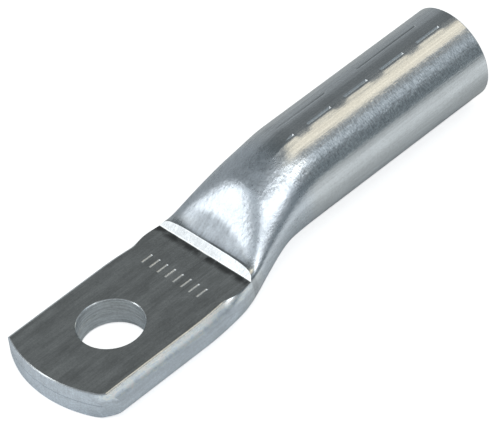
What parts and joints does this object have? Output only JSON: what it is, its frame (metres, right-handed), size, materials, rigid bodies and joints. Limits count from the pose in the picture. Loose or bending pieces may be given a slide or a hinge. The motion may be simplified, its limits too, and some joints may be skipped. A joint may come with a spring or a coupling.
{
  "type": "cable lug",
  "caption": "Aluminium compression cable lug: a round tube barrel for the cable, pressed flat into a palm with a stud hole.",
  "frame": {"origin": "centre of the stud hole on the palm's contact face", "axes": "+X from the stud hole to the barrel's mouth, +Z from the contact face up through the palm, +Y across"},
  "size_m": [0.0883, 0.0229, 0.016],
  "materials": {
    "aluminium": "bare drawn and pressed aluminium, satin with fine handling scratches"
  },
  "bodies": {
    "root": {"cable_lug": "aluminium"}
  },
  "joints": []
}
